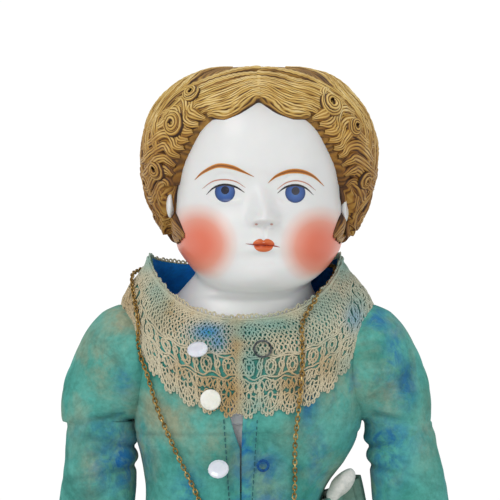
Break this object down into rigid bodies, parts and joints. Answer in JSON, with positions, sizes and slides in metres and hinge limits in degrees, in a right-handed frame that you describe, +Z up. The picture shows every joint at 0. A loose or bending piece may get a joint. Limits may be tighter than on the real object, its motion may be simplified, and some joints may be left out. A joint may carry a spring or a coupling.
{
  "type": "porcelain doll",
  "caption": "Standing doll with a moulded porcelain head and shoulder plate, cloth body, swinging arms and legs, lace-collared jacket, chain and floor-length skirt.",
  "frame": {"origin": "centre of the bounding box on the surface the skirt's hem rests on", "axes": "+Z up; the doll faces -Y and its own left side is +X"},
  "size_m": [0.3, 0.29, 0.6],
  "materials": {
    "bisque": "matt unglazed porcelain with fired-on paint",
    "glazed_bisque": "smooth porcelain with a painted boot",
    "muslin": "plain unbleached cotton, stuffed hard",
    "jacket_cotton": "faded blue-green plain cotton, blotched",
    "blue_lining": "unfaded royal-blue cotton",
    "lace": "ecru crocheted lace with brown stains",
    "china_button": "glossy white china",
    "pearl_button": "satin mother-of-pearl",
    "steel_wire": "dull dark wire",
    "thread": "deep-blue buttonhole thread",
    "gilt_metal": "worn antique gilt",
    "skirt_cotton": "darker blue-green gathered cotton",
    "white_cotton": "white plain cotton"
  },
  "bodies": {
    "torso": {"shoulder_head": "bisque", "torso_body": "muslin", "jacket_back": "jacket_cotton", "jacket_front_left": "jacket_cotton", "jacket_front_right": "jacket_cotton", "collar_band": "blue_lining", "lace_collar_left": "lace", "lace_collar_right": "lace", "china_button_upper": "china_button", "pearl_button": "pearl_button", "china_button_middle": "china_button", "china_button_lower": "china_button", "wire_ring": "steel_wire", "worked_buttonhole": "thread", "necklace_chain": "gilt_metal", "chain_clasp": "gilt_metal", "skirt": "skirt_cotton", "skirt_waistband": "skirt_cotton", "petticoat": "white_cotton", "petticoat_waistband": "white_cotton", "petticoat_tie": "white_cotton"},
    "arm_left": {"upper_arm_left": "muslin", "forearm_left": "bisque", "sleeve_left": "jacket_cotton", "cuff_left": "jacket_cotton"},
    "arm_right": {"upper_arm_right": "muslin", "forearm_right": "bisque", "sleeve_right": "jacket_cotton", "cuff_right": "jacket_cotton"},
    "leg_left": {"thigh_left": "muslin", "lower_leg_left": "glazed_bisque"},
    "leg_right": {"thigh_right": "muslin", "lower_leg_right": "glazed_bisque"}
  },
  "joints": [
    {"name": "shoulder_left", "type": "hinge", "parent": "torso", "child": "arm_left", "pos_m": [0.064, 0, 0.471], "axis": [-1, 0, 0], "range_deg": [-30, 100]},
    {"name": "shoulder_right", "type": "hinge", "parent": "torso", "child": "arm_right", "pos_m": [-0.064, 0, 0.471], "axis": [-1, 0, 0], "range_deg": [-30, 100]},
    {"name": "hip_left", "type": "hinge", "parent": "torso", "child": "leg_left", "pos_m": [0.024, 0, 0.341], "axis": [-1, 0, 0], "range_deg": [-15, 15]},
    {"name": "hip_right", "type": "hinge", "parent": "torso", "child": "leg_right", "pos_m": [-0.024, 0, 0.341], "axis": [-1, 0, 0], "range_deg": [-15, 15]}
  ]
}
